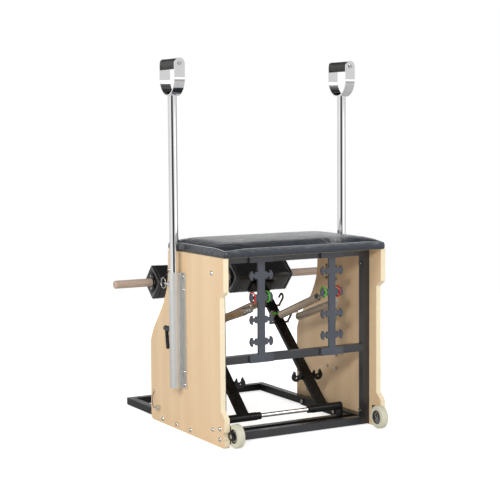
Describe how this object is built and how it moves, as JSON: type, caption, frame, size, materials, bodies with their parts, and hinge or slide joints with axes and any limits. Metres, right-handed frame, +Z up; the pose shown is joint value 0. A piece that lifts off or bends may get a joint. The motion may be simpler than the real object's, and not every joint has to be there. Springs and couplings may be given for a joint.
{
  "type": "pilates chair",
  "caption": "Split-pedal exercise chair: padded seat on plywood sides, two spring-loaded pedal arms, hooked spring trees, wooden side dowels and sliding hand poles.",
  "frame": {"origin": "middle of the chair's footprint, on the floor", "axes": "+Z up; +X to the right seen from the spring trees; +Y from the spring trees and wheels towards the pedals and stabiliser"},
  "size_m": [0.828, 0.8404, 1.2285],
  "materials": {
    "ply": "clear satin lacquer over pale maple plywood, pale layered edges",
    "board": "bare plywood under the upholstery",
    "vinyl": "black upholstery leather with a soft sheen",
    "frame_paint": "satin charcoal powder coat",
    "tree_paint": "satin slate powder coat",
    "black_paint": "satin black powder coat",
    "chrome": "polished",
    "satin_aluminium": "satin anodised, drawn along its length",
    "bolt_steel": "zinc plated",
    "pin_steel": "bright plated",
    "spring_steel": "bright spring wire",
    "tyre": "ivory cast polyurethane",
    "core": "dark moulded core with bearings",
    "grip": "matt black foam rubber",
    "black_plastic": "black moulded plastic",
    "cable": "plastic-coated cable and black screws",
    "sleeve": "woven bronze sleeve, slightly glossy",
    "dowel": "grey-brown oiled hardwood",
    "red_paint": "glossy red coating",
    "green_paint": "glossy green coating"
  },
  "bodies": {
    "chair": {"side_panel_left": "ply", "side_panel_right": "ply", "seat_board": "board", "seat_cushion": "vinyl", "steel_frame": "frame_paint", "spring_tree_left": "tree_paint", "spring_tree_right": "tree_paint", "base_frame": "black_paint", "stabiliser": "black_paint", "pivot_brackets": "black_paint", "pivot_axle": "chrome", "shaft_collars": "black_paint", "pole_socket_left": "satin_aluminium", "pole_socket_right": "satin_aluminium", "socket_bolts": "bolt_steel", "panel_bolts": "bolt_steel", "wheel_brackets": "black_paint", "pin_lanyards": "cable", "tree_rings_red": "red_paint", "tree_rings_green": "green_paint"},
    "wheel_left": {"wheel_tyre_left": "tyre", "wheel_core_left": "core"},
    "pole_left": {"pole_left": "chrome", "handle_band_left": "chrome", "handle_grip_left": "grip", "handle_bolts_left": "bolt_steel"},
    "clamp_lever_left": {"clamp_lever_left": "black_plastic"},
    "height_pin_left": {"height_pin_left": "pin_steel"},
    "lock_pin_left": {"lock_pin_left": "black_plastic"},
    "spring_left": {"springs_left": "spring_steel", "sleeves_left": "sleeve"},
    "spring_end_left": {"spring_tails_left": "spring_steel"},
    "pedal_left": {"pedal_arm_left": "black_paint", "arm_hooks_left": "black_paint", "link_ring_red_left": "red_paint", "link_ring_green_left": "green_paint", "pedal_pad_left": "vinyl", "pedal_core_left": "board", "pedal_dowel_left": "dowel", "pedal_plates_left": "black_paint"},
    "wheel_right": {"wheel_tyre_right": "tyre", "wheel_core_right": "core"},
    "pole_right": {"pole_right": "chrome", "handle_band_right": "chrome", "handle_grip_right": "grip", "handle_bolts_right": "bolt_steel"},
    "clamp_lever_right": {"clamp_lever_right": "black_plastic"},
    "height_pin_right": {"height_pin_right": "pin_steel"},
    "lock_pin_right": {"lock_pin_right": "black_plastic"},
    "spring_right": {"springs_right": "spring_steel", "sleeves_right": "sleeve"},
    "spring_end_right": {"spring_tails_right": "spring_steel"},
    "pedal_right": {"pedal_arm_right": "black_paint", "arm_hooks_right": "black_paint", "link_ring_red_right": "red_paint", "link_ring_green_right": "green_paint", "pedal_pad_right": "vinyl", "pedal_core_right": "board", "pedal_dowel_right": "dowel", "pedal_plates_right": "black_paint"}
  },
  "joints": [
    {"name": "pedal_left_swing", "type": "hinge", "parent": "chair", "child": "pedal_left", "pos_m": [-0.153, -0.21975, 0.057], "axis": [-1, 0, 0], "range_deg": [0, 41], "stiffness_Nm_per_rad": 60, "springref_deg": -20.05, "deforming": ["springs_left", "sleeves_left", "spring_tails_left"]},
    {"name": "spring_left_tilt", "type": "hinge", "parent": "chair", "child": "spring_left", "pos_m": [-0.1345, -0.29444, 0.4617], "axis": [-1, 0, 0], "range_deg": [0, 18]},
    {"name": "spring_left_stretch", "type": "slide", "parent": "spring_left", "child": "spring_end_left", "axis": [0, 0.9449, -0.3274], "range_m": [0, 0.231], "deforming": ["springs_left", "sleeves_left"]},
    {"name": "pole_left_height", "type": "slide", "parent": "chair", "child": "pole_left", "axis": [0, 0, 1], "range_m": [-0.165, 0]},
    {"name": "wheel_left_spin", "type": "hinge", "parent": "chair", "child": "wheel_left", "pos_m": [-0.271, -0.38225, 0.0417], "axis": [1, 0, 0], "continuous": true},
    {"name": "clamp_lever_left_turn", "type": "hinge", "parent": "chair", "child": "clamp_lever_left", "pos_m": [-0.327, -0.02675, 0.34], "axis": [0, 1, 0], "range_deg": [0, 90]},
    {"name": "height_pin_left_pull", "type": "slide", "parent": "chair", "child": "height_pin_left", "axis": [0, 1, 0], "range_m": [0, 0.015], "deforming": ["pin_lanyards"]},
    {"name": "lock_pin_left_pull", "type": "slide", "parent": "chair", "child": "lock_pin_left", "axis": [-1, 0, 0], "range_m": [0, 0.025], "deforming": ["pin_lanyards"]},
    {"name": "pedal_right_swing", "type": "hinge", "parent": "chair", "child": "pedal_right", "pos_m": [0.153, -0.21975, 0.057], "axis": [-1, 0, 0], "range_deg": [0, 41], "stiffness_Nm_per_rad": 60, "springref_deg": -20.05, "deforming": ["springs_right", "sleeves_right", "spring_tails_right"]},
    {"name": "spring_right_tilt", "type": "hinge", "parent": "chair", "child": "spring_right", "pos_m": [0.1345, -0.29444, 0.4617], "axis": [-1, 0, 0], "range_deg": [0, 18]},
    {"name": "spring_right_stretch", "type": "slide", "parent": "spring_right", "child": "spring_end_right", "axis": [0, 0.9449, -0.3274], "range_m": [0, 0.231], "deforming": ["springs_right", "sleeves_right"]},
    {"name": "pole_right_height", "type": "slide", "parent": "chair", "child": "pole_right", "axis": [0, 0, 1], "range_m": [-0.165, 0]},
    {"name": "wheel_right_spin", "type": "hinge", "parent": "chair", "child": "wheel_right", "pos_m": [0.271, -0.38225, 0.0417], "axis": [1, 0, 0], "continuous": true},
    {"name": "clamp_lever_right_turn", "type": "hinge", "parent": "chair", "child": "clamp_lever_right", "pos_m": [0.327, -0.02675, 0.34], "axis": [0, -1, 0], "range_deg": [0, 90]},
    {"name": "height_pin_right_pull", "type": "slide", "parent": "chair", "child": "height_pin_right", "axis": [0, 1, 0], "range_m": [0, 0.015], "deforming": ["pin_lanyards"]},
    {"name": "lock_pin_right_pull", "type": "slide", "parent": "chair", "child": "lock_pin_right", "axis": [1, 0, 0], "range_m": [0, 0.025], "deforming": ["pin_lanyards"]}
  ],
  "couplings": [
    {"joint": "spring_left_tilt", "follows": "pedal_left_swing", "ratio": 0.43073},
    {"joint": "spring_left_stretch", "follows": "pedal_left_swing", "m_per_rad": 0.32241},
    {"joint": "spring_right_tilt", "follows": "pedal_right_swing", "ratio": 0.43073},
    {"joint": "spring_right_stretch", "follows": "pedal_right_swing", "m_per_rad": 0.32241}
  ]
}
